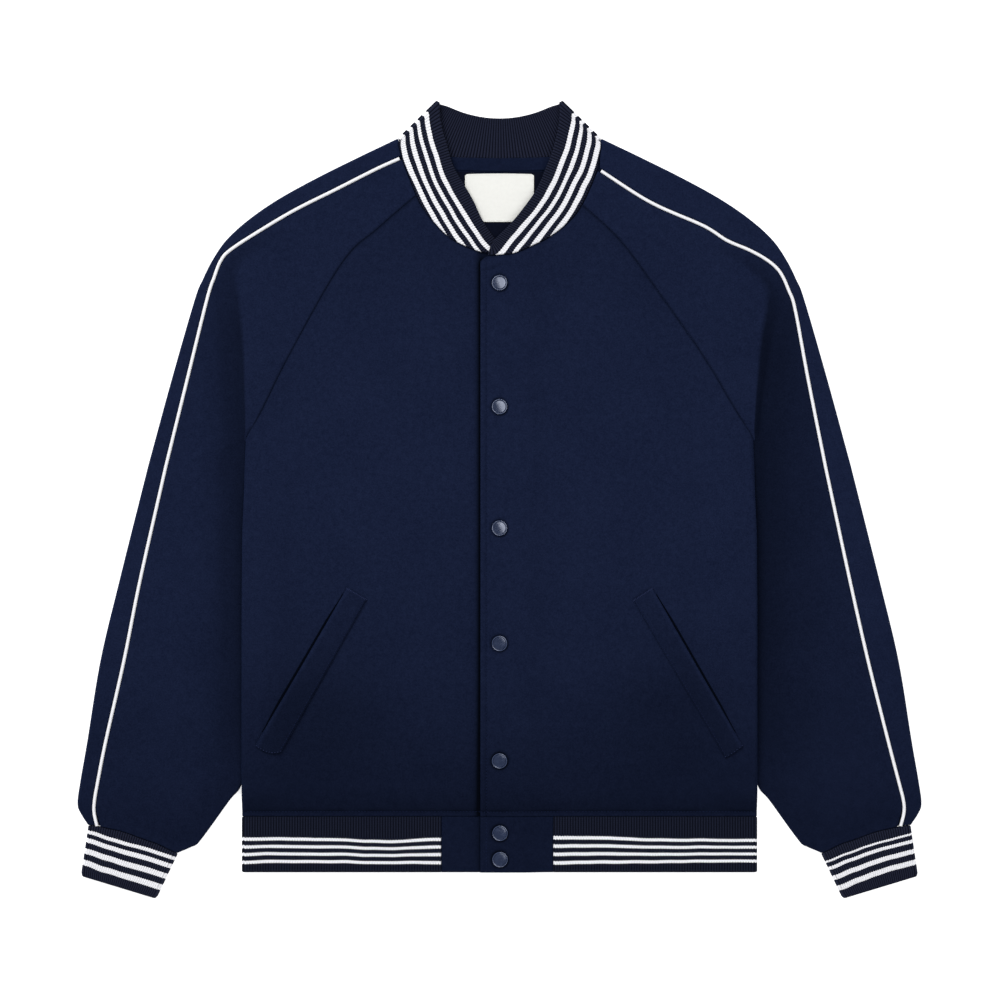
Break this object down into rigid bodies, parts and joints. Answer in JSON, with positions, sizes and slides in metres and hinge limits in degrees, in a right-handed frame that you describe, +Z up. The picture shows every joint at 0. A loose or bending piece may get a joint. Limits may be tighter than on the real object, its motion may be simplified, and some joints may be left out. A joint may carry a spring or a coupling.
{
  "type": "varsity jacket",
  "caption": "Boxy wool varsity jacket laid flat, front up: raglan sleeves with corded piping, striped rib collar, cuffs and hem, snap front, slanted welt pockets.",
  "frame": {"origin": "middle of the bounding box, on the surface that the jacket lies on", "axes": "+Z up out of the front, +Y towards the collar, +X towards the wearer's left sleeve"},
  "size_m": [0.8266, 0.7805, 0.0156],
  "materials": {
    "wool": "navy wool melton, brushed, matt with a faint nap",
    "rib": "navy wool rib knit with off-white stripes knitted in",
    "trim": "off-white corded piping",
    "lining": "navy satin lining",
    "label": "off-white satin label, blank",
    "snap": "gunmetal snap caps with a rolled rim"
  },
  "bodies": {
    "root": {"back": "wool", "back_lining": "lining", "back_neck_facing": "wool", "collar": "rib", "cuff_left": "rib", "cuff_right": "rib", "front_left": "wool", "front_right": "wool", "hem_rib": "rib", "hem_tab_left": "wool", "hem_tab_right": "wool", "neck_label": "label", "piping_left": "trim", "piping_right": "trim", "pocket_welt_left": "wool", "pocket_welt_right": "wool", "sleeve_back_left": "wool", "sleeve_back_right": "wool", "sleeve_front_left": "wool", "sleeve_front_right": "wool", "snap_cap_1": "snap", "snap_cap_2": "snap", "snap_cap_3": "snap", "snap_cap_4": "snap", "snap_cap_5": "snap", "snap_cap_6": "snap", "snap_cap_7": "snap"}
  },
  "joints": []
}
